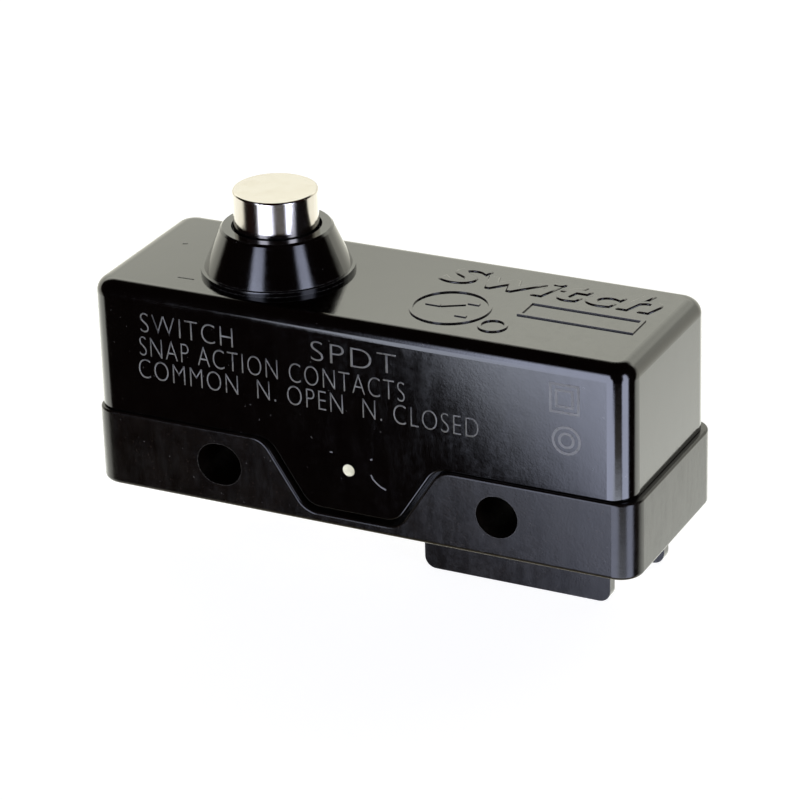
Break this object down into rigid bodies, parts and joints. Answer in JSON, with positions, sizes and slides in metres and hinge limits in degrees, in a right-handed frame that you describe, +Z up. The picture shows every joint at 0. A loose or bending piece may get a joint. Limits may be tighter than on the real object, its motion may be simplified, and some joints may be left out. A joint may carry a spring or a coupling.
{
  "type": "limit switch",
  "caption": "Moulded snap-action limit switch with a flat steel plunger in a tapered bushing, side mounting holes and screw terminals underneath.",
  "frame": {"origin": "midway between the two mounting holes, at their height, in the middle of the case's thickness", "axes": "+X along the case away from the plunger, +Y across the case towards its rear, +Z up out of the plunger"},
  "size_m": [0.0494, 0.0174, 0.03],
  "materials": {
    "moulding": "glossy black thermoset with a slight texture",
    "plated_steel": "polished, nickel plated",
    "steel": "zinc plated",
    "brass": "stamped",
    "copper_alloy": "spring-temper copper alloy strip",
    "silver": "silver contact faces",
    "insulator": "dark insulating moulding"
  },
  "bodies": {
    "housing": {"base": "moulding", "cover": "moulding", "case_pin": "steel", "pin_guide": "insulator", "spring_anchor": "brass", "anchor_rivet": "brass", "common_terminal": "brass", "open_terminal": "brass", "closed_terminal": "brass", "open_contact": "silver", "closed_contact": "silver", "terminal_screws": "steel", "terminal_washers": "steel", "terminal_lock_washers": "steel"},
    "plunger": {"plunger": "plated_steel", "plunger_ring": "steel"},
    "actuator": {"actuator_pin": "insulator", "overtravel_spring": "steel"},
    "contact_arm": {"contact_blade": "copper_alloy", "moving_contact": "silver"},
    "bow_spring": {"bow_spring": "copper_alloy"}
  },
  "joints": [
    {"name": "plunger_slide", "type": "slide", "parent": "housing", "child": "plunger", "axis": [0, 0, -1], "range_m": [0, 0.0024], "deforming": ["overtravel_spring"]},
    {"name": "actuator_slide", "type": "slide", "parent": "housing", "child": "actuator", "axis": [0, 0, -1], "range_m": [0, 0.00058]},
    {"name": "contact_swing", "type": "hinge", "parent": "housing", "child": "contact_arm", "pos_m": [-0.0214, 0, 0.00715], "axis": [0, 1, 0], "range_deg": [0, 3.15]},
    {"name": "bow_swing", "type": "hinge", "parent": "housing", "child": "bow_spring", "pos_m": [-0.0083, 0, 0.0066], "axis": [0, 1, 0], "range_deg": [0, 9.5]}
  ],
  "couplings": [
    {"joint": "actuator_slide", "follows": "plunger_slide", "ratio": 0.2384},
    {"joint": "contact_swing", "follows": "plunger_slide", "rad_per_m": 22.7},
    {"joint": "bow_swing", "follows": "plunger_slide", "rad_per_m": 68.6}
  ]
}
